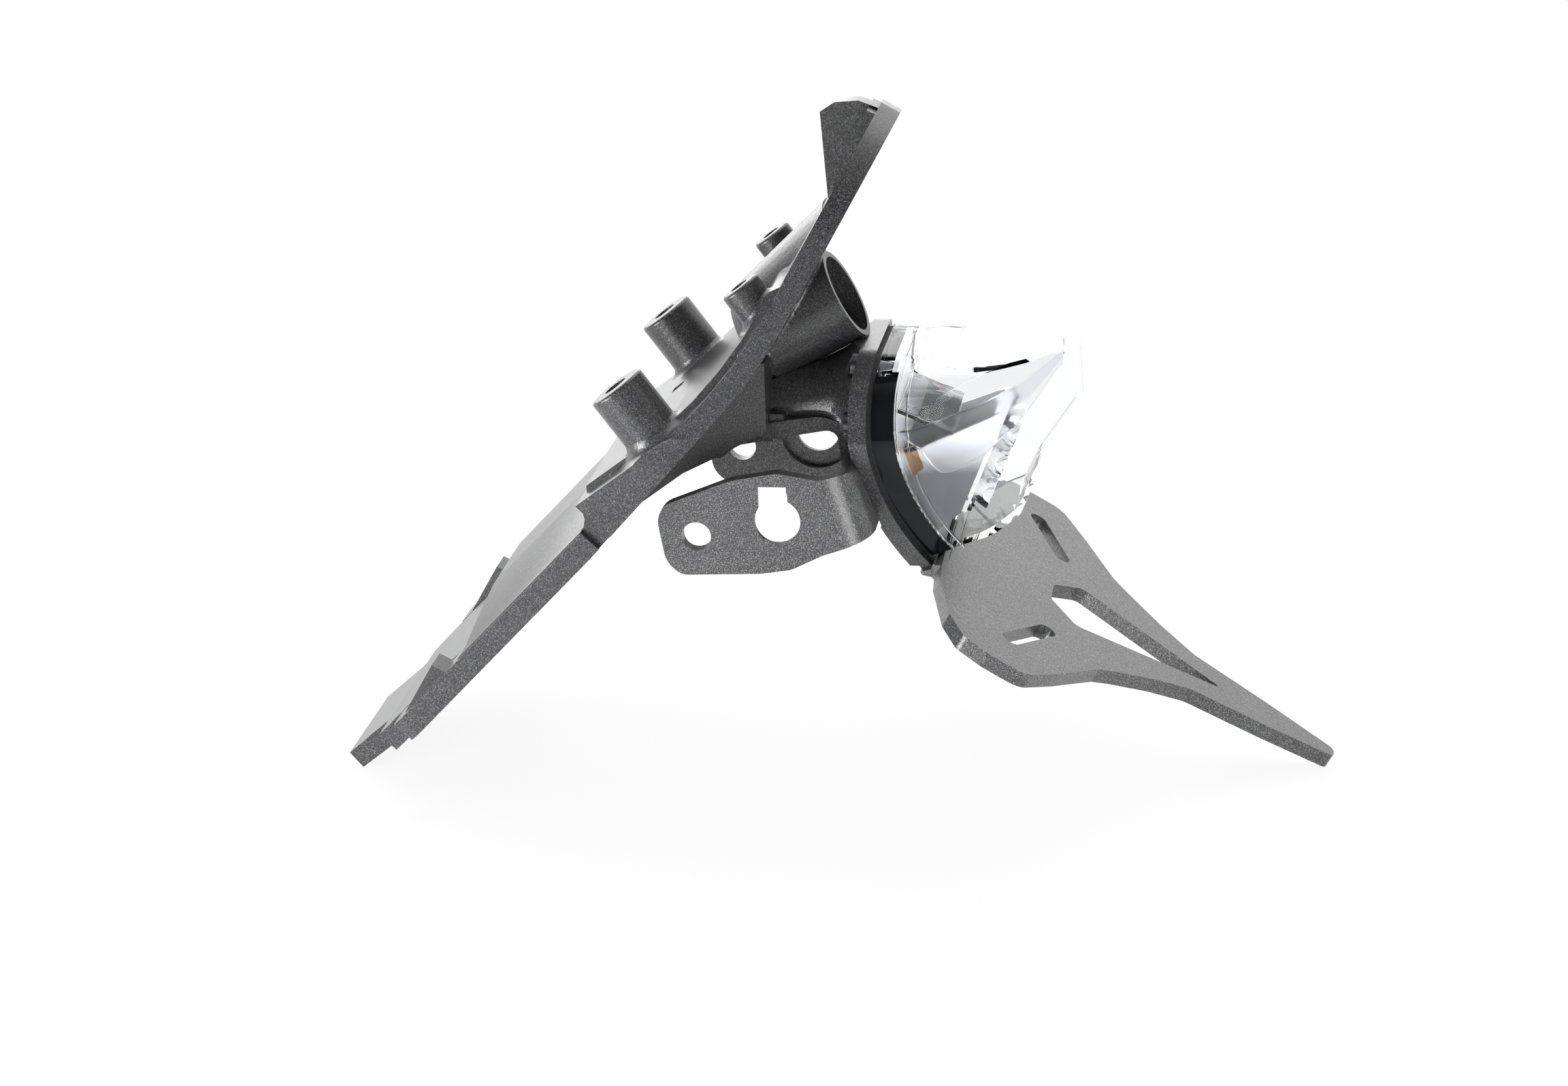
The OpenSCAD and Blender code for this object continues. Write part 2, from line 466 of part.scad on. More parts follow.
module hanger_plan() difference() {
    polygon(rounded([for (p = both([[-36, 33, 0], [-35, 45, 4], [-28.5, hanger_hw - 14, 5], [-22, hanger_hw - 3, 4], [-12, hanger_hw, 5], [2, hanger_hw, 8],
        [13, hanger_hw - 16, 6], [27, hanger_hw - 39, 5], [33, 39, 8], [48, 26, 12], [62, 16.5, 10], [92, 10.5, 30], [hanger_tip, 3.5, 3]])) p]));
    polygon(rounded([[5, 7, 3.5], [16, 18.5, 3.5], [72, 0.6, 0.5], [72, -0.6, 0.5], [16, -18.5, 3.5], [5, -7, 3.5]]));
}
module hanger_slots(d, h) for (m = [0, 1]) mirror([0, m, 0]) translate([0, slot_y, 0]) rotate([0, 0, 116]) {
    for (e = [-1, 1]) translate([e * slot_len / 2, 0, 0]) cylinder(d = d, h = h, center = true);
    cube([slot_len, d, h], center = true);
}
// Neck of the hanger: steps down under the lamp's foot and turns up behind the flange
neck_top = go(hanger_at, -hanger_angle, -36);
neck_low = go(foot_at, lamp_angle, 1.4, -1.6);
module hanger_neck_side() polygon([go(neck_top, -hanger_angle, 6), neck_top, neck_low, go(tab_seat, tab_angle, -5), go(tab_seat, tab_angle, 6),
    go(tab_seat, tab_angle, 6, hanger_t), go(tab_seat, tab_angle, -9.6, hanger_t), go(neck_low, tab_angle, -5.4, 2), go(neck_top, -hanger_angle, 1.5, -hanger_t), go(neck_top, -hanger_angle, 6, -hanger_t)]);

module plate_hanger() color(black) difference() {
    union() {
        at(hanger_at, -hanger_angle) translate([0, 0, -hanger_t]) linear_extrude(hanger_t) hanger_plan();
        intersection() {
            side(80) hanger_neck_side();
            union() {
                translate([foot_at.x - 40, -tab_hw, 0]) cube([80, 2 * tab_hw, 200]);
                intersection() {
                    side(80) polygon([go(foot_at, lamp_angle, -60, -flange_margin - 0.4), go(foot_at, lamp_angle, -gasket_t + piece_gap, -flange_margin - 0.4), go(foot_at, lamp_angle, 0.8, -1.2), go(foot_at, lamp_angle, 60, -1.2), [150, -60], [-60, -60]]);
                    linear_extrude(300) polygon([[foot_at.x - 8, 22], [foot_at.x, 25], [neck_top.x, 33], [150, 33], [150, -33], [neck_top.x, -33], [foot_at.x, -25], [foot_at.x - 8, -22]]);
                }
            }
        }
    }
    at(hanger_at, -hanger_angle) hanger_slots(slot_w, 40);
    // relief under the lens
    at(hanger_at, -hanger_angle) translate([-38, -foot_hw - 3.5, -piece_gap]) cube([4, 2 * foot_hw + 7, 4]);
    tab_places() { translate([0, 0, -1]) cylinder(d = clamp_bolt + 2 * bolt_gap, h = 12); translate([0, 0, -1]) cylinder(d1 = 2 * clamp_bolt + 2, d2 = clamp_bolt, h = 1 + clamp_bolt / 2); }
}

module clamp_bolts() color(steel) fold_places() difference() {
    rotate_extrude() polygon([[0, -4], [clamp_bolt / 2, -4], [clamp_bolt / 2, arm_t + 1], [0.85 * clamp_bolt, arm_t + 1],
        [0.85 * clamp_bolt, arm_t + 1 + 0.5 * clamp_bolt], [0.7 * clamp_bolt, arm_t + 1 + 0.6 * clamp_bolt], [0, arm_t + 1 + 0.6 * clamp_bolt]]);
    translate([0, 0, arm_t + 1 + 0.25 * clamp_bolt]) cylinder(d = 0.75 * clamp_bolt, h = clamp_bolt, $fn = 6);
}
module clamp_washers() color(steel) fold_places() translate([0, 0, arm_t]) difference() { cylinder(d = 2 * clamp_bolt, h = 1); translate([0, 0, -1]) cylinder(d = clamp_bolt, h = 3); }
module tab_screws() color(steel) tab_places() difference() {
    rotate_extrude() polygon([[0, 0.3], [0.92 * clamp_bolt, 0.3], [clamp_bolt / 2, 0.3 + 0.42 * clamp_bolt], [clamp_bolt / 2, hanger_t + 1.7], [0, hanger_t + 1.7]]);
    translate([0, 0, -1]) cylinder(d = 0.65 * clamp_bolt, h = 1 + 0.36 * clamp_bolt, $fn = 6);
}

// Slice of the bow between two radii, under the lamp's outline
module slice(ra, rb, m) intersection() {
    lamp_prism(m, joint_x + 10, lamp_at.x + 40);
    translate([bow.x, 0, bow.y]) rotate([90, 0, 0]) difference() { cylinder(r = ra, h = 120, center = true, $fn = 180); cylinder(r = rb, h = 130, center = true, $fn = 180); }
}
module cable_hole(d) translate([seat_x, 0, neck_z + 2]) rotate([0, 90, 0]) cylinder(d = d, h = 30);

module lamp_gasket() color([0.06, 0.06, 0.06]) difference() {
    slice(r_flange, r_gasket, -0.4);
    slice(r_flange + 2, r_gasket - 2, -6);
    tab_cut();
    lamp_screw_places() cylinder(d = lamp_screw, h = 30);
}

module lamp_housing() color([0.04, 0.04, 0.05]) difference() {
    union() {
        difference() { slice(r_gasket, r_housing, 0); slice(r_gasket - 2, r_housing - 5, -2.4); }
        // screw posts and the ledge that carries the bezel
        intersection() { lamp_screw_places() translate([0, 0, flange_t + gasket_t]) cylinder(d = lamp_screw + 5, h = housing_depth - 2.4); slice(r_gasket, r_bezel, -1); }
        difference() { slice(r_gasket, r_bezel, -1); slice(r_gasket + 2, r_bezel - 2, -4); }
    }
    lamp_screw_places() translate([0, 0, 1]) cylinder(d = lamp_screw, h = flange_t + gasket_t + 4);
    cable_hole(grommet_d - 3);
}

module lamp_screws() color(steel) lamp_screw_places() difference() {
    union() { translate([0, 0, -0.6 * lamp_screw + 0.5]) cylinder(d = 1.9 * lamp_screw, h = 0.6 * lamp_screw); cylinder(d = lamp_screw, h = flange_t + gasket_t + 4.5); }
    translate([0, 0, -0.6 * lamp_screw]) cylinder(d = 0.6 * lamp_screw, h = 0.35 * lamp_screw, $fn = 6);
}

module cable_grommet() color([0.08, 0.08, 0.08]) translate([bow_x(r_gasket, neck_z + 2), 0, neck_z + 2]) rotate([0, 90, 0]) difference() {
    union() { translate([0, 0, -2.6]) cylinder(d = grommet_d, h = 2.4); translate([0, 0, -3.2]) cylinder(d = grommet_d - 3, h = 6.2); translate([0, 0, 2.2]) cylinder(d = grommet_d - 0.5, h = 1.4); }
    translate([0, 0, -4]) cylinder(d = 3.4, h = 10);
}

// Bezel: a bowed base inside the housing with a hollow stand for the circuit board
module core() at(core_at, core_angle) children();
stand_low = [bow_x(r_housing, foot_z + 8) - 3, foot_z + 8];
stand_end = go(core_at, core_angle, -board_t, -board_hh);
module stand(m) intersection() {
    side(80) polygon([[bow_x(r_housing, wide_z) - 1 - 3 * m, wide_z - 10.5 - m], [stand_low.x - 3 * m, stand_low.y + m],
        go(core_at, core_angle, -board_t - m, -board_hh + m), go(core_at, core_angle, -board_t - m, board_hh - m)]);
    translate([0, 0, 20]) linear_extrude(200) polygon([[lamp_at.x + 2, 22 - m], [lamp_at.x + 2, m - 22], [core_at.x + 10, m - board_hw], [core_at.x + 10, board_hw - m]]);
}
module lamp_bezel() color([0.72, 0.73, 0.75]) difference() {
    union() {
        slice(r_bezel, r_bezel - bezel_t, -2.6);
        difference() { stand(0); translate([bow.x, 0, bow.y]) rotate([90, 0, 0]) difference() { cylinder(r = 2 * bow_r, h = 120, center = true); cylinder(r = r_bezel - 0.5, h = 130, center = true, $fn = 180); } }
    }
    stand(bezel_t);
    board_screw_places() translate([0, 0, -8]) cylinder(d = board_screw, h = 9);
}
module board_screw_places() core() for (y = [-1, 1], z = [-1, 1]) translate([0, y * (board_hw - 3), z * (board_hh - 2.4)]) rotate([0, 90, 0]) children();
module led_board() color([0.05, 0.25, 0.12]) core() difference() {
    translate([-board_t, -board_hw, -board_hh]) cube([board_t, 2 * board_hw, 2 * board_hh]);
    for (y = [-1, 1], z = [-1, 1]) translate([-3, y * (board_hw - 3), z * (board_hh - 2.4)]) rotate([0, 90, 0]) cylinder(d = board_screw, h = 6);
}
module board_screws() color(steel) board_screw_places() difference() {
    union() { translate([0, 0, -board_t - bezel_t]) cylinder(d = board_screw, h = board_t + bezel_t + 0.1); cylinder(d = 1.8 * board_screw, h = 0.6 * board_screw); }
    translate([0, 0, 0.3 * board_screw]) cylinder(d = 0.5 * board_screw, h = board_screw, $fn = 6);
}
module led_places() core() for (y = [-led_y, led_y], i = [-1, 0, 1]) translate([0, y, i * led_pitch]) children();
module tail_leds() color([0.95, 0.85, 0.5]) led_places() translate([0, -led_w / 2, -led_w / 2]) cube([0.9, led_w, led_w]);
module reflector_bowls() color([0.9, 0.91, 0.93]) difference() {
    union() {
        led_places() rotate([0, 90, 0]) cylinder(d1 = bowl_d - 3.6, d2 = bowl_d, h = 6);
        core() translate([4.4, -led_y - 3, -led_pitch - 3]) cube([1.6, 2 * led_y + 6, 2 * led_pitch + 6]);
    }
    led_places() rotate([0, 90, 0]) { translate([0, 0, 0.9]) cylinder(d1 = bowl_d - 6, d2 = bowl_d - 1.6, h = 5.2); translate([0, 0, -1]) cylinder(d = led_w * 1.42 + 0.1, h = 3); }
}
// Plate light emitters under the stand
module plate_leds() color([0.97, 0.95, 0.85]) for (y = [-10, 0, 10]) translate([0, y, 0])
    at(stand_end, atan2(stand_end.y - stand_low.y, stand_end.x - stand_low.x)) translate([-2.8 - led_w, -led_w / 2, -1.5]) cube([led_w, led_w, 1.5]);

// Front face of the bezel's base, which the clear pieces stand on
module before_bezel() translate([bow.x, 0, bow.y]) rotate([90, 0, 0]) cylinder(r = r_bezel - bezel_t, h = 100, center = true, $fn = 180);
module prism_panel() color(clear_grey) intersection() {
    let (x = bow_x(r_housing, wide_z + 7)) side(44) polygon([[x - 3, wide_z + 8], [x + 18.5, wide_z - 0.8], [x + 18.1, wide_z - 2.2], [x - 3, wide_z + 6.5]]);
    before_bezel();
}

// Light guides: blades that follow the sides of the lens from the windows to the tip
window_x = 14;
function guide_at(i) = let (x = window_x + piece_gap + i * 7.75) [x, lookup(x, [[0, 30.2], [7, 30.2], [22, 28.2], [36, 22.3], [48, 15.4], [56, 9.8], [61.5, 6]])];
module guide(s) intersection() {
    translate([lamp_at.x, 0, wide_z]) side(90) polygon(concat([for (i = [0:6]) let (t = (guide_at(i).x - 5) / 56) [guide_at(i).x, -4.5 + 26 * pow(t, 1.7)]],
        [for (i = [6:-1:0]) let (t = (guide_at(i).x - 5) / 56) [guide_at(i).x, -13.5 + 29 * pow(t, 1.35)]]));
    translate([lamp_at.x, 0, 50]) linear_extrude(140) polygon(concat([for (i = [0:6]) [guide_at(i).x, s * (guide_at(i).y + 1.2)]], [for (i = [6:-1:0]) [guide_at(i).x, s * (guide_at(i).y - 1.2)]]));
}
module light_guide_left() color(clear_grey) guide(-1);
module light_guide_right() color(clear_grey) guide(1);
module window_tile(s) intersection() {
    translate([lamp_at.x, s * 30.2 - 1, wide_z - 11.7]) cube([window_x, 2, 9.4]);
    before_bezel();
}
module side_window_left() color([0.55, 0.35, 0.15]) window_tile(-1);
module side_window_right() color([0.55, 0.35, 0.15]) window_tile(1);

// Lens: side, plan and front outlines cut from one another, then hollowed
module lens_solid(m) intersection() {
    translate([lamp_at.x, 0, wide_z]) side(100) polygon(rounded([[-16, 60, 0], [-16, -60, 0], [8, -foot_drop - 8, 0], [22.6 - 0.3 * m, m - foot_drop - 0.4, 3],
        [48 - 0.7 * m, -31 + m, 4], [54 - m, -17, 8], [68.2 - m, 6, 5], [66.7 - m, 27 - m, 1.5], [50, 24 - m, 20], [30, 22.5 - m, 30], [11, 26 - m, 0], [6, 60, 0]]));
    translate([lamp_at.x, 0, 20]) linear_extrude(240) polygon(rounded(both([[-20, lamp_hw - m, 0], [8, lamp_hw - 0.4 - m, 8], [26, 33 - m, 20], [42, 24 - m, 20], [56, 14 - m, 10], [68.6 - m, 5.6 - 0.6 * m, 2]])));
    lamp_prism(-0.3 - m, joint_x, seat_x + 120);
}
module lamp_lens() color(clear_grey) difference() {
    lens_solid(0);
    lens_solid(lens_wall);
    translate([bow.x, 0, bow.y]) rotate([90, 0, 0]) difference() { cylinder(r = 2 * bow_r, h = 140, center = true); cylinder(r = r_housing, h = 150, center = true, $fn = 180); }
}

main_bracket();
lamp_bracket();
joint_bolts();
joint_washers();
indicator_bracket();
plate_hanger();
clamp_bolts();
clamp_washers();
tab_screws();
lamp_gasket();
lamp_housing();
lamp_screws();
cable_grommet();
led_board();
board_screws();
tail_leds();
plate_leds();
reflector_bowls();
lamp_bezel();
light_guide_left();
light_guide_right();
prism_panel();
side_window_left();
side_window_right();
lamp_lens();
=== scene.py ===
"""Tail tidy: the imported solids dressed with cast, moulded and clear pieces."""
import math

import bmesh
import bpy
import numpy as np
from mathutils import Matrix, Vector


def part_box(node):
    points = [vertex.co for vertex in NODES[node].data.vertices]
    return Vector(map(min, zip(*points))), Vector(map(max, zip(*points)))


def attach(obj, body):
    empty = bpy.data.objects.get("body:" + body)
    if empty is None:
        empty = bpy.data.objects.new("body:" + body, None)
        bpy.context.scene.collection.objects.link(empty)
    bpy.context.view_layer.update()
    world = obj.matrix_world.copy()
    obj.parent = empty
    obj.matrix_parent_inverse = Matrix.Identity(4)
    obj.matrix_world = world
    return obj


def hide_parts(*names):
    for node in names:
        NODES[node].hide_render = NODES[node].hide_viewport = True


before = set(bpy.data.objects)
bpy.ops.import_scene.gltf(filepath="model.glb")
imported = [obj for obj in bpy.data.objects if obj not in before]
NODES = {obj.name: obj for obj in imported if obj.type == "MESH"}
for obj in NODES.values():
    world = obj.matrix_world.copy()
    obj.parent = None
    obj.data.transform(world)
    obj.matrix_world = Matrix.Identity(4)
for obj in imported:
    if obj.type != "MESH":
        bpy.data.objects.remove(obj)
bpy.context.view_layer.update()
MM = 0.001
BODY = "root"

# ---------------------------------------------------------------- camera

CAMERA_AT = (158.634, -1118.683, 475.528)   # mm
CAMERA_ROLL = 1.906                         # degrees
DEPTH_VANISHES = (778.0, 1778.0, -5000.0)   # direction of +Y as the camera sees it
CAMERA_LENS, CAMERA_SENSOR = 78.125, 36     # mm: 5000 px over a frame 2304 px wide
CAMERA_CLIP = (0.02, 60)                    # m


def add_camera():
    roll = math.radians(CAMERA_ROLL)
    depth = Vector(DEPTH_VANISHES).normalized()
    level = Vector((math.cos(roll), math.sin(roll), 0))
    up = level.cross(depth).normalized()
    if up.y < 0:
        up = -up
    right = depth.cross(up)
    data = bpy.data.cameras.new("photo_camera")
    data.sensor_fit, data.sensor_width, data.lens = "HORIZONTAL", CAMERA_SENSOR, CAMERA_LENS
    data.clip_start, data.clip_end = CAMERA_CLIP
    camera = bpy.data.objects.new("photo_camera", data)
    bpy.context.scene.collection.objects.link(camera)
    turn = Matrix((right, depth, up)).to_4x4()
    camera.matrix_world = Matrix.Translation(Vector(CAMERA_AT) * MM) @ turn
    bpy.context.scene.camera = camera


# ---------------------------------------------------------------- materials


class Finish:
    """A material under construction: its nodes are added by short calls."""

    def __init__(self, name):
        self.mat = bpy.data.materials.new(name)
        self.mat.use_nodes = True
        self.tree = self.mat.node_tree
        self.tree.nodes.clear()
        self.out = self.add("ShaderNodeOutputMaterial")
        self.shader = self.add("ShaderNodeBsdfPrincipled")
        self.join(self.shader, "BSDF", self.out, "Surface")

    def add(self, kind, **values):
        node = self.tree.nodes.new(kind)
        for key, value in values.items():
            if hasattr(node, key):
                setattr(node, key, value)
            else:
                node.inputs[key.replace("_", " ")].default_value = value
        return node

    def join(self, a, out, b, into):
        self.tree.links.new(a.outputs[out], b.inputs[into])

    def surface(self, **values):
        for key, value in values.items():
            self.shader.inputs[key.replace("_", " ")].default_value = value
        return self

    def object_place(self):
        return self.add("ShaderNodeTexCoord")

    def noise(self, size, detail=2.0, roughness=0.6):
        """Noise with cells of the given size in mm."""
        node = self.add("ShaderNodeTexNoise", Scale=1 / (size * MM), Detail=detail,
                        Roughness=roughness)
        self.join(self.object_place(), "Object", node, "Vector")
        return node

    def ramp(self, source, out, stops):
        node = self.add("ShaderNodeValToRGB")
        ramp = node.color_ramp
        for end in (0, -1):
            ramp.elements[end].position = stops[end][0]
            ramp.elements[end].color = (*stops[end][1], 1)
        for place, colour in stops[1:-1]:
            ramp.elements.new(place).color = (*colour, 1)
        self.join(source, out, node, "Fac")
        return node

    def two_tones(self, size, dark, light):
        """Base colour between two tones, in patches of the given size in mm."""
        shade = self.ramp(self.noise(size), "Fac", [dark, light])
        self.join(shade, "Color", self.shader, "Base Color")

    def tinted(self, one, two):
        """Base colour: one colour times another."""
        tint = self.add("ShaderNodeMix", data_type="RGBA", blend_type="MULTIPLY")
        tint.inputs[0].default_value = 1.0
        self.join(one, "Color", tint, 6)
        self.join(two, "Color", tint, 7)
        self.join(tint, 2, self.shader, "Base Color")

    def bump(self, source, out, depth, strength=1.0, under=None):
        node = self.add("ShaderNodeBump", Strength=strength, Distance=depth * MM)
        self.join(source, out, node, "Height")
        if under:
            self.join(under, "Normal", node, "Normal")
        self.join(node, "Normal", self.shader, "Normal")
        return node


COAT_PATCH = 24.0                           # mm, slow change of tone over a coated piece
PEBBLE, PEBBLE_DEPTH = 1.5, 0.10            # mm, the pebbled surface of the coat
FLECK_DEPTH = 0.05                          # mm, how far a pale fleck stands out
BEZEL_PAINTED_SHADE_LOW, BEZEL_PAINTED_SHADE_HIGH = 0.112, 0.126     # m, heights over which the painted shade on the bezel fades: darker below, standing in for the dark surroundings it reflects


def powder_coat(name, dark, light, roughness, grain):
    """Fine granular powder coat: dark ground with pale flecks and a pebbled surface; the flecks
    are its grain and also its sparkle, painted in as pale colour.
    """
    f = Finish(name).surface(Roughness=roughness, IOR=1.6)
    # Pale flecks: the coat's grain, with its sparkle of glints painted in as pale colour.
    grain_and_painted_glint = f.noise(grain, detail=2.0, roughness=0.7)
    patch = f.noise(COAT_PATCH, detail=1.0)
    middle = [0.72 * a + 0.28 * b for a, b in zip(dark, light)]
    colour = f.ramp(grain_and_painted_glint, "Fac", [(0.40, dark), (0.55, middle), (0.66, light)])
    shade = f.ramp(patch, "Fac", [(0.3, (0.86, 0.86, 0.86)), (0.7, (1, 1, 1))])
    f.tinted(colour, shade)
    pebble = f.bump(f.noise(PEBBLE, detail=1.0), "Fac", PEBBLE_DEPTH, 0.9)
    f.bump(grain_and_painted_glint, "Fac", FLECK_DEPTH, 0.9, pebble)
    return f.mat


def add_materials():
    m = {}
    m["coat"] = powder_coat("powder_coat", (0.012, 0.012, 0.013), (0.150, 0.150, 0.156),
                            roughness=0.30, grain=0.42)
    # Painted light: a lighter copy of the same powder coat for the bent plates, standing in for
    # the light that falls on their upward faces.
    m["coat_painted_light"] = powder_coat("powder_coat_plate_painted_light", (0.020, 0.020, 0.021),
                                 (0.260, 0.260, 0.267), roughness=0.30, grain=0.42)

    steel = Finish("screw_steel").surface(Metallic=1.0, Roughness=0.3)
    steel.two_tones(1.2, (0.3, (0.10, 0.10, 0.11)), (0.7, (0.17, 0.17, 0.18)))
    m["steel"] = steel.mat

    rubber = Finish("seal_rubber").surface(Roughness=0.75)
    rubber.two_tones(0.8, (0.3, (0.012, 0.012, 0.012)), (0.8, (0.035, 0.035, 0.035)))
    rubber.bump(rubber.noise(0.5), "Fac", 0.05, 0.5)
    m["rubber"] = rubber.mat

    gloss = Finish("gloss_black_plastic").surface(Roughness=0.10, IOR=1.30)
    gloss.two_tones(30.0, (0.3, (0.004, 0.0045, 0.005)), (0.7, (0.008, 0.009, 0.011)))
    gloss.bump(gloss.noise(18.0, detail=0.0), "Fac", 0.04, 0.3)
    m["gloss"] = gloss.mat

    board = Finish("circuit_board").surface(Roughness=0.35)
    board.two_tones(3.0, (0.4, (0.70, 0.71, 0.72)), (0.6, (0.80, 0.81, 0.82)))
    m["board"] = board.mat

    led = Finish("led_phosphor").surface(Roughness=0.3)
    led.two_tones(1.0, (0.3, (0.80, 0.72, 0.38)), (0.7, (0.88, 0.82, 0.52)))
    m["led"] = led.mat

    mirror = Finish("bowl_mirror").surface(Metallic=1.0, Roughness=0.05)
    mirror.two_tones(8.0, (0.3, (0.86, 0.87, 0.88)), (0.7, (0.93, 0.94, 0.95)))
    m["mirror"] = mirror.mat

    silver = Finish("silvered_plastic").surface(Metallic=0.35, Roughness=0.30)
    shade = silver.ramp(silver.noise(14.0), "Fac",
                        [(0.3, (0.84, 0.85, 0.87)), (0.7, (0.92, 0.93, 0.94))])
    # Painted shade: the bezel's colour darkens towards its base by height, standing in for the
    # dark surroundings that its silver reflects.
    height = silver.add("ShaderNodeSeparateXYZ")
    silver.join(silver.object_place(), "Object", height, "Vector")
    level = silver.add("ShaderNodeMapRange", From_Min=BEZEL_PAINTED_SHADE_LOW, From_Max=BEZEL_PAINTED_SHADE_HIGH)
    silver.join(height, "Z", level, "Value")
    depth = silver.ramp(level, "Result", [(0.0, (0.13, 0.13, 0.14)), (1.0, (1, 1, 1))])
    silver.tinted(shade, depth)
    m["silver"] = silver.mat

    m["lens"] = clear_plastic("lens_plastic", (0.985, 0.99, 0.99), 0.0, 1.14)
    m["guide"] = clear_plastic("light_guide_plastic", (0.86, 0.87, 0.89), 0.30, 1.15)
    m["prism"] = clear_plastic("prism_plastic", (0.97, 0.975, 0.985), 0.05, 1.15)
    m["bronze"] = clear_plastic("bronze_window", (0.48, 0.30, 0.17), 0.20, 1.20)
    return m


def clear_plastic(name, colour, roughness, ior):
    """Clear moulded plastic that lets the light reach what is behind it."""
    f = Finish(name).surface(Transmission_Weight=1.0, Roughness=roughness, IOR=ior)
    shade = f.ramp(f.noise(20.0, detail=0.0), "Fac",
                   [(0.3, colour), (0.7, [min(1.0, 1.02 * c) for c in colour])])
    f.join(shade, "Color", f.shader, "Base Color")
    path = f.add("ShaderNodeLightPath")
    open_air = f.add("ShaderNodeBsdfTransparent", Color=(*colour, 1))
    mix = f.add("ShaderNodeMixShader")
    f.join(path, "Is Shadow Ray", mix, 0)
    f.join(f.shader, "BSDF", mix, 1)
    f.join(open_air, "BSDF", mix, 2)
    f.join(mix, "Shader", f.out, "Surface")
    return f.mat


# ---------------------------------------------------------------- mesh tools


def new_object(name, mesh, material=None):
    thing = bpy.data.objects.new(name, mesh)
    bpy.context.scene.collection.objects.link(thing)
    if material:
        mesh.materials.clear()
        mesh.materials.append(material)
    return thing


def made(name, bm, outward=False):
    """New object from a bmesh, which is used up."""
    if outward:
        bmesh.ops.recalc_face_normals(bm, faces=bm.faces)
    mesh = bpy.data.meshes.new(name)
    bm.to_mesh(mesh)
    bm.free()
    return new_object(name, mesh)


WELD, SLIVER = 0.004, 0.002                 # mm: corners this near are one, edges this short go
ONE_PLANE = 0.6                             # degrees between faces that count as one plane


def welded_copy(node, name):
    """A copy of a CAD node's mesh with its loose triangles joined."""
    mesh = NODES[node].data.copy()
    mesh.name = name
    bm = bmesh.new()
    bm.from_mesh(mesh)
    bmesh.ops.remove_doubles(bm, verts=bm.verts, dist=WELD * MM)
    bmesh.ops.dissolve_degenerate(bm, edges=bm.edges, dist=SLIVER * MM)
    bm.to_mesh(mesh)
    bm.free()
    return new_object(name, mesh)


def bake_modifiers(thing):
    """Turns the object with its modifiers into a plain mesh."""
    depsgraph = bpy.context.evaluated_depsgraph_get()
    mesh = bpy.data.meshes.new_from_object(thing.evaluated_get(depsgraph))
    old = thing.data
    thing.modifiers.clear()
    thing.data = mesh
    bpy.data.meshes.remove(old)
    return thing


def shade(thing):
    thing.data.polygons.foreach_set("use_smooth", [True] * len(thing.data.polygons))
    thing.data.update()


def bevelled(thing, width, segments, limit):
    """Small even radii on the sharp edges, with flat faces kept flat."""
    bm = bmesh.new()
    bm.from_mesh(thing.data)
    bmesh.ops.dissolve_limit(bm, angle_limit=math.radians(ONE_PLANE), verts=bm.verts,
                             edges=bm.edges)
    bm.to_mesh(thing.data)
    bm.free()
    bevel = thing.modifiers.new("radius", "BEVEL")
    bevel.width, bevel.segments = width * MM, segments
    bevel.limit_method, bevel.angle_limit = "ANGLE", math.radians(limit)
    return bake_modifiers(thing)


def ball(centre, radius):
    bm = bmesh.new()
    bmesh.ops.create_icosphere(bm, subdivisions=4, radius=radius * MM,
                               matrix=Matrix.Translation(Vector(centre) * MM))
    return made("cutter", bm)


def combine(thing, other, operation):
    step = thing.modifiers.new("combine", "BOOLEAN")
    step.operation, step.solver, step.object = operation, "MANIFOLD", other
    bake_modifiers(thing)
    bpy.data.objects.remove(other)
    return thing


def filleted(source, centre, radius, voxel, rounds, inset):
    """The part of a casting inside a ball, with its inner corners filled smooth."""
    thing = new_object("fillet", source.data.copy())
    combine(thing, ball(centre, radius), "INTERSECT")
    remesh = thing.modifiers.new("skin", "REMESH")
    remesh.mode, remesh.voxel_size = "VOXEL", voxel * MM
    soften = thing.modifiers.new("soften", "SMOOTH")
    soften.factor, soften.iterations = 0.5, rounds
    sink = thing.modifiers.new("sink", "DISPLACE")
    sink.strength, sink.mid_level = -inset * MM, 0
    return bake_modifiers(thing)


MOST_TRIANGLES = 195000
EDGE_ANGLE = 32                             # degrees from which an edge of a casting is rounded


def cast(node, name, material, edge, fillets=(), cuts=()):
    """The node's solid with small edge radii and wide fillets in its inner corners."""
    plain = welded_copy(node, name)
    for cutter in cuts:
        combine(plain, cutter, "DIFFERENCE")
    fills = [filleted(plain, *fillet) for fillet in fillets]
    thing = bevelled(plain, edge, 2, EDGE_ANGLE)
    for fill in fills:
        combine(thing, fill, "UNION")
    triangles = sum(len(p.vertices) - 2 for p in thing.data.polygons)
    if triangles > MOST_TRIANGLES:
        thin = thing.modifiers.new("thin", "DECIMATE")
        thin.ratio = MOST_TRIANGLES / triangles
        bake_modifiers(thing)
    return dressed(thing, material)


def dressed(thing, material, crease=EDGE_ANGLE):
    """One material, smooth shading and flat faces that stay flat."""
    thing.data.materials.clear()
    thing.data.materials.append(material)
    shade(thing)
    thing.data.set_sharp_from_angle(angle=math.radians(crease))
    even = thing.modifiers.new("even", "WEIGHTED_NORMAL")
    even.keep_sharp = True
    return bake_modifiers(thing)


def block(lows, highs, frame_at):
    """A box between two corners of a tilted frame, used as a cutter."""
    bm = bmesh.new()
    bmesh.ops.create_cube(bm, size=1)
    for v in bm.verts:
        corner = [(lo + hi) / 2 + c * (hi - lo) for c, lo, hi in zip(v.co, lows, highs)]
        v.co = frame_at @ Vector(corner) * MM
    return made("cutter", bm)


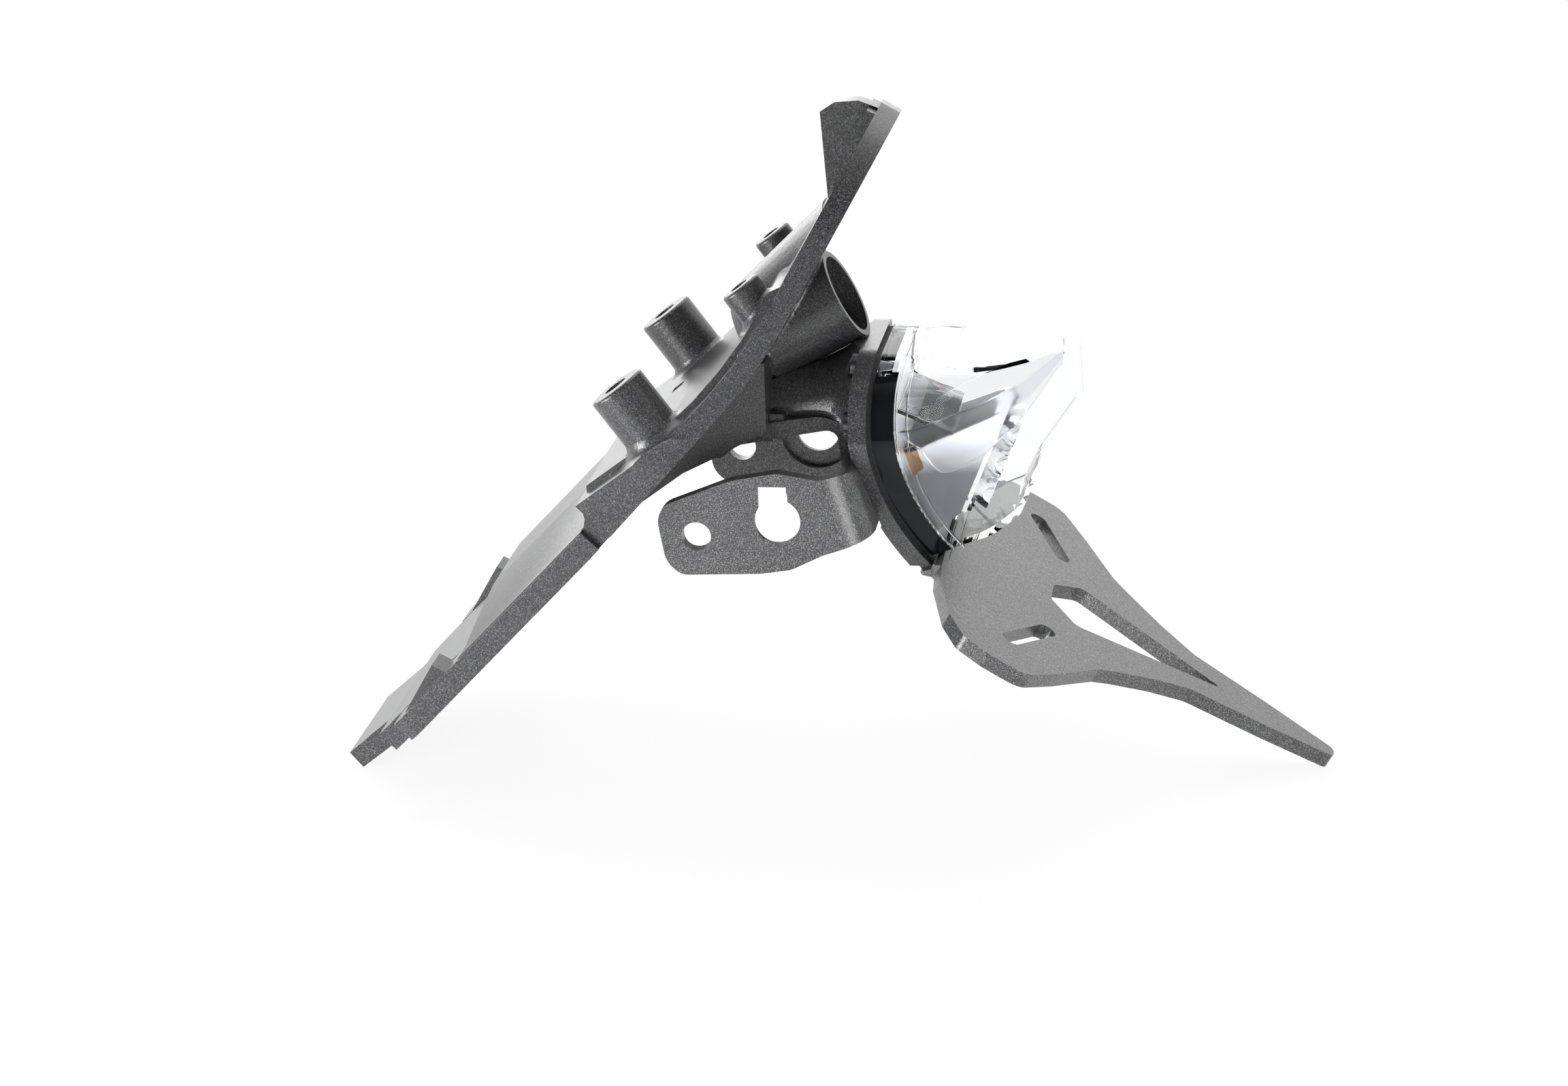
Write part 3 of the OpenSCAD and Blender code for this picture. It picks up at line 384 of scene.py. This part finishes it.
def slope_frame(point, degrees):
    """Frame in the mid plane with its X axis along a slope, in mm."""
    turn = Matrix.Rotation(-math.radians(degrees), 4, "Y")
    return Matrix.Translation((point[0], 0, point[1])) @ turn


def moulded(node, name, material, width, segments=2, limit=30):
    """The node's solid with small even radii on its edges."""
    return dressed(bevelled(welded_copy(node, name), width, segments, limit), material)


def finish_piece(thing, node):
    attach(thing, BODY)
    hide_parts(node)


# ---------------------------------------------------------------- pieces


DECK_TIP, DECK_ANGLE = (-145.0, 32.722), 45.8
NOTCH_LOW, NOTCH_HIGH = (96.5, -3.0, -14.0), (102.4, 3.0, 9.8)   # along, across and off the deck
NOTCH_OFF_MIDDLE = 60.0
MAIN_EDGE, LAMP_EDGE, INDICATOR_EDGE, HANGER_EDGE = 0.55, 0.5, 0.4, 0.45   # mm, edge radii

# Balls in which inner corners are filled: place in X and Z, distance from the middle,
# then the ball's radius, voxel size, rounds of smoothing and inset
BOSS_FOOT = ((-52.354, 131.099), 46.5, (22.0, 0.6, 120, 0.12))
STUD_FOOT = ((-16.837, 171.275), 35.6, (18.0, 0.6, 120, 0.12))
HOOD_FILL = ((-14.0, 0.0, 168.0), 47.0, 0.75, 24, 0.09)
NECK_FILL = ((12.0, 0.0, 136.0), 44.0, 0.6, 40, 0.08)


def main_fillets():
    """Fillets round the four boss feet and the hood."""
    feet = [((place[0], side * half, place[1]), *sizes)
            for place, half, sizes in (BOSS_FOOT, STUD_FOOT) for side in (-1, 1)]
    return feet + [HOOD_FILL]


def notches():
    """Cutters for the notch at the end of each side arm."""
    deck = slope_frame(DECK_TIP, DECK_ANGLE)
    cutters = []
    for side in (-1, 1):
        aside = Vector((0, side * NOTCH_OFF_MIDDLE, 0))
        cutters.append(block(Vector(NOTCH_LOW) + aside, Vector(NOTCH_HIGH) + aside, deck))
    return cutters


def build_castings(m):
    for node, name, finish, edge, fillets, cuts in (
            ("main_bracket", "main_casting", "coat", MAIN_EDGE, main_fillets(), notches()),
            ("lamp_bracket", "lamp_casting", "coat", LAMP_EDGE, [NECK_FILL], []),
            ("indicator_bracket", "indicator_plate", "coat_painted_light", INDICATOR_EDGE, [], []),
            ("plate_hanger", "hanger_plate", "coat_painted_light", HANGER_EDGE, [], [])):
        finish_piece(cast(node, name, m[finish], edge, fillets, cuts), node)


LAMP_AT, WIDE_Z = 19.175, 128.775          # seat of the lamp: X, and Z of its widest place
BOW_AT, SEAT_RADIUS = (109.822, 136.775), 83.6
CORE_AT, CORE_TURN = (55.175, 114.775), 22.0
CLEAR_FROM, CLEAR_GAP = 149.1, 0.1         # Z where the black moulding ends, and the step
LAMP_ROOM = ((-200, -100, -50), (200, 100, 400))   # a box that holds the whole part


def prism(name, outline, low, high):
    """A closed slab between two Y planes from an outline in X and Z."""
    bm = bmesh.new()
    rings = [[bm.verts.new((x * MM, y * MM, z * MM)) for x, z in outline] for y in (low, high)]
    bm.faces.new(rings[0])
    bm.faces.new(rings[1][::-1])
    for k in range(len(outline)):
        j = (k + 1) % len(outline)
        bm.faces.new((rings[0][k], rings[1][k], rings[1][j], rings[0][j]))
    return made(name, bm, outward=True)


def swept(name, sections):
    """A closed skin through rings of points."""
    bm = bmesh.new()
    rings = [[bm.verts.new(Vector(p) * MM) for p in ring] for ring in sections]
    for one, two in zip(rings, rings[1:]):
        for k in range(len(one)):
            j = (k + 1) % len(one)
            bm.faces.new((one[k], one[j], two[j], two[k]))
    bm.faces.new(rings[0][::-1])
    bm.faces.new(rings[-1])
    return made(name, bm, outward=True)


def revolved(name, profile, segments):
    """A closed ring about Z from an outline of radii and heights."""
    bm = bmesh.new()
    rings = []
    for k in range(segments):
        turn = 2 * math.pi * k / segments
        rings.append([bm.verts.new((r * math.cos(turn) * MM, r * math.sin(turn) * MM, z * MM))
                      for r, z in profile])
    for k in range(segments):
        one, two = rings[k], rings[(k + 1) % segments]
        for i in range(len(profile)):
            j = (i + 1) % len(profile)
            bm.faces.new((one[i], two[i], two[j], one[j]))
    return made(name, bm, outward=True)


def joined(things, name):
    """Several objects as one mesh."""
    bm = bmesh.new()
    for thing in things:
        bm.from_mesh(thing.data)
        bpy.data.objects.remove(thing)
    return made(name, bm)


# Side view of a light guide, from the lamp's seat: X, top, under the top rib, bottom
GUIDE = np.array([
    (8.0, 1.2, -1.8, -3.0), (14.3, 2.9, -0.6, -12.5), (18.8, 4.3, 0.6, -14.2),
    (24.9, 6.4, 2.2, -12.8), (32.8, 8.8, 3.9, -10.4), (40.7, 11.7, 6.6, -3.6),
    (48.6, 15.5, 11.2, 2.6), (56.4, 20.9, 17.6, 12.6), (61.5, 24.4, 22.3, 20.2)])
# Plan view of a light guide: X, distance from the middle
GUIDE_PLAN = np.array([(0, 30.2), (7, 30.2), (22, 28.2), (36, 22.3), (48, 15.4), (56, 9.8),
                       (61.5, 6.0)])
GUIDE_SLANT = 7.0                           # how far the blade's lower end leans to the rear
GUIDE_SECTIONS, GUIDE_BLUR = 44, 2.5        # count, and mm over which its outline is evened
GUIDE_CREASE = 50                           # degrees


def guide_section(top, rib, low):
    """Half outline of the blade: distance from its own middle, and height."""
    depth = max(top - low, 0.1)
    return [(0.0, top), (1.0, top - 0.3), (1.4, 0.5 * (top + rib)), (0.8, rib),
            (0.6, rib - 0.4 * (rib - low)), (0.6, low + 0.3 * (rib - low)),
            (1.0, low + 0.16 * (rib - low)), (0.7, low + 0.03 * depth), (0.0, low)]


def light_guide(name, side, material):
    """A blade of clear plastic with a rib along its top and a bead along its bottom."""
    first, last = GUIDE[0, 0], GUIDE[-1, 0]
    sections = []
    for x in np.linspace(first, last, GUIDE_SECTIONS):
        near = [x - GUIDE_BLUR, x, x + GUIDE_BLUR]
        top, rib, low = (np.mean(np.interp(near, GUIDE[:, 0], GUIDE[:, k])) for k in (1, 2, 3))
        share = (x - first) / (last - first)
        depth = max(top - low, 0.1)
        loop = guide_section(top, rib, low)
        loop += [(-d, z) for d, z in loop[-2:0:-1]]
        ring = []
        for across, z in loop:
            lean = x + GUIDE_SLANT * (1 - share) ** 2 * ((top - z) / depth) ** 1.5
            out = np.interp(lean, GUIDE_PLAN[:, 0], GUIDE_PLAN[:, 1])
            ring.append((LAMP_AT + lean, side * (out + across), WIDE_Z + z))
        sections.append(ring)
    return dressed(swept(name, sections), material, GUIDE_CREASE)


# Corners of a side window from the lamp's seat, and the distances of its faces from the middle
WINDOW = [(9.4, -3.8), (13.8, -2.3), (16.4, -10.8), (12.8, -13.4)]
WINDOW_INNER, WINDOW_OUTER, WINDOW_EDGE = 31.0, 32.6, 0.45


def side_window(name, side, material):
    outline = [(LAMP_AT + x, WIDE_Z + z) for x, z in WINDOW]
    low, high = sorted((side * WINDOW_INNER, side * WINDOW_OUTER))
    return dressed(bevelled(prism(name, outline, low, high), WINDOW_EDGE, 3, 30), material)


BEADS = ((0.9, 0.995), (4.4, 0.985))        # mm in front of the seat, and how much drawn in
BEAD_RADIUS, BEAD_SECTORS = 0.42, 96
SEAT_SLACK = 0.06                           # mm from the seat's radius that still count as seat


def seat_outline():
    """Points of the lens round the outside of its seat, in order, and the middle they go round."""
    places = np.array([v.co for v in NODES["lamp_lens"].data.vertices]) / MM
    reach = np.hypot(places[:, 0] - BOW_AT[0], places[:, 2] - BOW_AT[1])
    seat = places[np.abs(reach - SEAT_RADIUS) < SEAT_SLACK]
    middle = WIDE_Z - 6
    turn = np.arctan2(seat[:, 2] - middle, seat[:, 1])
    away = np.hypot(seat[:, 2] - middle, seat[:, 1])
    loop = []
    sectors = np.linspace(-math.pi, math.pi, BEAD_SECTORS + 1)
    for one, two in zip(sectors, sectors[1:]):
        inside = np.flatnonzero((turn >= one) & (turn < two))
        if len(inside):
            loop.append(seat[inside[np.argmax(away[inside])]])
    return loop, middle


def rim_beads():
    """Two fine beads round the lens, at its seat and a little in front of it."""
    loop, middle = seat_outline()
    beads = []
    for forward, inward in BEADS:
        curve = bpy.data.curves.new("rim_bead", "CURVE")
        curve.dimensions, curve.bevel_depth, curve.bevel_resolution = "3D", BEAD_RADIUS * MM, 2
        spline = curve.splines.new("POLY")
        spline.points.add(len(loop) - 1)
        for point, (x, y, z) in zip(spline.points, loop):
            height = middle + (z - middle) * inward
            point.co = ((x + forward) * MM, y * inward * MM, height * MM, 1)
        spline.use_cyclic_u = True
        thing = bpy.data.objects.new("rim_bead", curve)
        bpy.context.scene.collection.objects.link(thing)
        mesh = bpy.data.meshes.new_from_object(thing)
        bpy.data.objects.remove(thing)
        beads.append(new_object("rim_bead", mesh))
    return beads


def grid_group():
    """Node group that sets copies of a piece on a grid, turned and moved into place."""
    group = bpy.data.node_groups.new("pieces_on_a_grid", "GeometryNodeTree")
    face = group.interface
    face.new_socket("Geometry", in_out="INPUT", socket_type="NodeSocketGeometry")
    for name, kind in (("Piece", "Object"), ("Columns", "Int"), ("Rows", "Int"),
                       ("Length", "Float"), ("Width", "Float"), ("Place", "Vector"),
                       ("Turn", "Vector"), ("Finish", "Material")):
        face.new_socket(name, in_out="INPUT", socket_type="NodeSocket" + kind)
    face.new_socket("Geometry", in_out="OUTPUT", socket_type="NodeSocketGeometry")
    add, join = group.nodes.new, group.links.new
    start, end = add("NodeGroupInput"), add("NodeGroupOutput")
    grid, piece = add("GeometryNodeMeshGrid"), add("GeometryNodeObjectInfo")
    copies, move = add("GeometryNodeInstanceOnPoints"), add("GeometryNodeTransform")
    real, paint = add("GeometryNodeRealizeInstances"), add("GeometryNodeSetMaterial")
    join(start.outputs["Length"], grid.inputs["Size X"])
    join(start.outputs["Width"], grid.inputs["Size Y"])
    join(start.outputs["Columns"], grid.inputs["Vertices X"])
    join(start.outputs["Rows"], grid.inputs["Vertices Y"])
    join(start.outputs["Piece"], piece.inputs["Object"])
    join(grid.outputs["Mesh"], copies.inputs["Points"])
    join(piece.outputs["Geometry"], copies.inputs["Instance"])
    join(copies.outputs["Instances"], move.inputs["Geometry"])
    join(start.outputs["Place"], move.inputs["Translation"])
    join(start.outputs["Turn"], move.inputs["Rotation"])
    join(move.outputs["Geometry"], real.inputs["Geometry"])
    join(real.outputs["Geometry"], paint.inputs["Geometry"])
    join(start.outputs["Finish"], paint.inputs["Material"])
    join(paint.outputs["Geometry"], end.inputs["Geometry"])
    return group


def on_grid(name, piece, columns, rows, length, width, place, turn, finish):
    """Plain mesh of copies of a piece on a grid; the piece itself is used up."""
    group = bpy.data.node_groups.get("pieces_on_a_grid") or grid_group()
    thing = new_object(name, bpy.data.meshes.new(name))
    maker = thing.modifiers.new("copies", "NODES")
    maker.node_group = group
    values = {"Piece": piece, "Columns": columns, "Rows": rows,
              "Length": length * MM, "Width": width * MM,
              "Place": [c * MM for c in place],
              "Turn": [math.radians(c) for c in turn], "Finish": finish}
    for item in group.interface.items_tree:
        if item.in_out == "INPUT" and item.name in values:
            maker[item.identifier] = values[item.name]
    bake_modifiers(thing)
    bpy.data.objects.remove(piece)
    thing.data.materials.clear()
    thing.data.materials.append(finish)
    return thing


# Half section of a bowl: radius, height, from its hole up the inside and back down the outside
BOWL = [(2.6, 0.0), (3.3, 0.4), (4.4, 2.0), (5.2, 4.2), (5.65, 6.0), (5.4, 6.25), (5.1, 6.0),
        (4.6, 4.2), (3.7, 2.3), (2.8, 1.1), (2.6, 0.7)]
BOWL_COLUMNS, BOWL_ROWS, BOWL_LENGTH, BOWL_WIDTH = 3, 2, 24, 16
BOWL_CREASE = 50                            # degrees


def build_bowls(m):
    bowls = on_grid("reflector_cups", revolved("bowl", BOWL, 40), BOWL_COLUMNS, BOWL_ROWS,
                    BOWL_LENGTH, BOWL_WIDTH, (CORE_AT[0], 0, CORE_AT[1]),
                    (0, 90 + CORE_TURN, 0), m["mirror"])
    shade(bowls)
    bowls.data.set_sharp_from_angle(angle=math.radians(BOWL_CREASE))
    finish_piece(bowls, "reflector_bowls")


RIBS, RIBS_ACROSS, RIB_HEIGHT = 33, 42, 0.55
RIB_HALF, RIB_BASE, RIB_TOP_SHARE = 0.5, 0.02, 0.1
RIB_SHORTER, PANEL_DEPTH, RIB_FORWARD = 1.6, 1.4, 0.2


def build_prism(m):
    """Clear panel with fine ribs running to the rear."""
    low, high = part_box("prism_panel")
    x0, x1, z0, z1 = low.x / MM, high.x / MM, low.z / MM, high.z / MM
    slope = math.degrees(math.atan2(z1 - z0 - PANEL_DEPTH, x1 - x0))
    half = ((x1 - x0) / math.cos(math.radians(slope)) - RIB_SHORTER) / 2
    rib = prism("rib", [(-half, 0), (half, 0), (half, RIB_BASE), (-half, RIB_BASE)],
                -RIB_HALF, RIB_HALF)
    for v in rib.data.vertices:
        if v.co.z > RIB_BASE * MM / 2:
            v.co.z, v.co.y = RIB_HEIGHT * MM, v.co.y * RIB_TOP_SHARE
    middle = ((x0 + x1) / 2 + RIB_FORWARD, 0, (z0 + z1) / 2 + RIB_HEIGHT)
    ribs = on_grid("prism_ribs", rib, 1, RIBS, 0, RIBS_ACROSS, middle, (0, slope, 0), m["prism"])
    panel = joined([moulded("prism_panel", "panel", m["prism"], 0.2), ribs], "prism_plate")
    panel.data.materials.append(m["prism"])
    finish_piece(panel, "prism_panel")


HOUSING_EDGE, SKIRT_EDGE, LENS_EDGE, LENS_CREASE = 0.45, 0.3, 0.35, 24


def build_lamp(m):
    """The housing is black below the clear rim; the rim above it belongs to the lens."""
    lows, highs = LAMP_ROOM
    below = block(lows, (*highs[:2], CLEAR_FROM), Matrix.Identity(4))
    above = block((*lows[:2], CLEAR_FROM + CLEAR_GAP), highs, Matrix.Identity(4))
    shell = combine(welded_copy("lamp_housing", "housing_shell"), below, "INTERSECT")
    shell = dressed(bevelled(shell, HOUSING_EDGE, 3, 30), m["gloss"])
    finish_piece(shell, "lamp_housing")
    skirt = combine(welded_copy("lamp_housing", "skirt"), above, "INTERSECT")
    skirt = bevelled(skirt, SKIRT_EDGE, 2, 30)
    glass = bevelled(welded_copy("lamp_lens", "glass"), LENS_EDGE, 2, 30)
    lens = joined([glass, skirt] + rim_beads(), "lens_shell")
    finish_piece(dressed(lens, m["lens"], LENS_CREASE), "lamp_lens")
    for side, hand in ((-1, "left"), (1, "right")):
        guide = light_guide("guide_" + hand, side, m["guide"])
        finish_piece(guide, "light_guide_" + hand)
        window = side_window("window_" + hand, side, m["bronze"])
        finish_piece(window, "side_window_" + hand)
    build_bowls(m)
    build_prism(m)


KEPT = {
    "steel": ("joint_bolts", "joint_washers", "clamp_bolts", "clamp_washers", "tab_screws",
              "lamp_screws", "board_screws"),
    "rubber": ("lamp_gasket", "cable_grommet"),
    "board": ("led_board",),
    "led": ("tail_leds", "plate_leds"),
    "silver": ("lamp_bezel",),
}


def dress_kept_nodes(m):
    for finish, names in KEPT.items():
        for name in names:
            mesh = NODES[name].data
            mesh.materials.clear()
            mesh.materials.append(m[finish])


# ---------------------------------------------------------------- studio


FLOOR_WHITE = 0.89                          # share of plain white in the floor that is seen
FLOOR_HALF, FLOOR_DROP = 14.0, 0.0006       # m
# Slopes of the world's light, added up: heading, where each starts and ends along it,
# and its strength at the start and at the end
WORLD_SLOPES = (((0.30, 1.0, 0.45), -0.45, 0.80, 0.13, 1.60),
                ((-0.5, 1.0, 0.0), 0.85, 1.10, 0.0, 3.6))
# Name, place, aim, width, height and watts of each lamp
LAMPS = (("overhead", (0.1, 0.8, 1.4), (0, 0, 0.1), 1.6, 1.2, 8.0),
         ("low_left", (-0.42, -0.34, 0.06), (-0.10, -0.05, 0.07), 0.3, 0.2, 3.8),
         ("low_right", (0.32, -0.42, 0.04), (0.02, -0.02, 0.15), 0.3, 0.2, 1.6))


def seen_directly(tree, others=("Is Glossy Ray", "Is Transmission Ray")):
    """1 where the camera or one of the other kinds of ray meets the surface, else 0."""
    path = tree.nodes.new("ShaderNodeLightPath")
    value = path.outputs["Is Camera Ray"]
    for other in others:
        either = tree.nodes.new("ShaderNodeMath")
        either.operation = "MAXIMUM"
        tree.links.new(value, either.inputs[0])
        tree.links.new(path.outputs[other], either.inputs[1])
        value = either.outputs[0]
    return value


def add_floor():
    corners = ((-1, -1), (1, -1), (1, 1), (-1, 1))
    mesh = bpy.data.meshes.new("studio_floor")
    mesh.from_pydata([(x * FLOOR_HALF, y * FLOOR_HALF, -FLOOR_DROP) for x, y in corners],
                     [], [(0, 1, 2, 3)])
    floor = new_object("studio_floor", mesh)
    f = Finish("floor_white").surface(Roughness=0.9, Specular_IOR_Level=0.1)
    tone = f.ramp(f.noise(400.0, detail=1.0), "Fac",
                  [(0.3, (0.93, 0.93, 0.93)), (0.7, (0.95, 0.95, 0.95))])
    f.join(tone, "Color", f.shader, "Base Color")
    white = f.add("ShaderNodeEmission", Strength=1.0)
    share = f.add("ShaderNodeMath", operation="MULTIPLY")
    share.inputs[1].default_value = FLOOR_WHITE
    f.tree.links.new(seen_directly(f.tree), share.inputs[0])
    mix = f.add("ShaderNodeMixShader")
    f.join(share, 0, mix, 0)
    f.join(f.shader, "BSDF", mix, 1)
    f.join(white, 0, mix, 2)
    f.join(mix, 0, f.out, "Surface")
    mesh.materials.append(f.mat)




def add_world():
    world = bpy.data.worlds.new("studio_world")
    bpy.context.scene.world = world
    world.use_nodes = True
    tree = world.node_tree
    tree.nodes.clear()
    out = tree.nodes.new("ShaderNodeOutputWorld")
    seen = tree.nodes.new("ShaderNodeBackground")
    light = tree.nodes.new("ShaderNodeBackground")
    seen.inputs["Color"].default_value = (1, 1, 1, 1)
    place = tree.nodes.new("ShaderNodeTexCoord")
    both = tree.nodes.new("ShaderNodeMath")
    for k, (heading, start, end, low, high) in enumerate(WORLD_SLOPES):
        slope = tree.nodes.new("ShaderNodeVectorMath")
        slope.operation = "DOT_PRODUCT"
        slope.inputs[1].default_value = heading
        ramp = tree.nodes.new("ShaderNodeMapRange")
        ramp.inputs["From Min"].default_value, ramp.inputs["From Max"].default_value = start, end
        ramp.inputs["To Min"].default_value, ramp.inputs["To Max"].default_value = low, high
        tree.links.new(place.outputs["Generated"], slope.inputs[0])
        tree.links.new(slope.outputs["Value"], ramp.inputs["Value"])
        tree.links.new(ramp.outputs[0], both.inputs[k])
    tree.links.new(both.outputs[0], light.inputs["Strength"])
    mix = tree.nodes.new("ShaderNodeMixShader")
    tree.links.new(seen_directly(tree, ["Is Transmission Ray"]), mix.inputs[0])
    tree.links.new(light.outputs[0], mix.inputs[1])
    tree.links.new(seen.outputs[0], mix.inputs[2])
    tree.links.new(mix.outputs[0], out.inputs[0])


def add_light(name, place, aim, width, height, watts):
    data = bpy.data.lights.new(name, "AREA")
    data.shape, data.size, data.size_y, data.energy = "RECTANGLE", width, height, watts
    lamp = bpy.data.objects.new(name, data)
    bpy.context.scene.collection.objects.link(lamp)
    lamp.location = place
    lamp.rotation_euler = (Vector(aim) - Vector(place)).to_track_quat("-Z", "Y").to_euler()
    lamp.visible_camera = False


def add_studio():
    add_floor()
    add_world()
    for lamp in LAMPS:
        add_light(*lamp)


def main():
    add_camera()
    materials = add_materials()
    build_castings(materials)
    build_lamp(materials)
    dress_kept_nodes(materials)
    add_studio()
    bpy.context.scene.view_settings.view_transform = "Standard"


main()
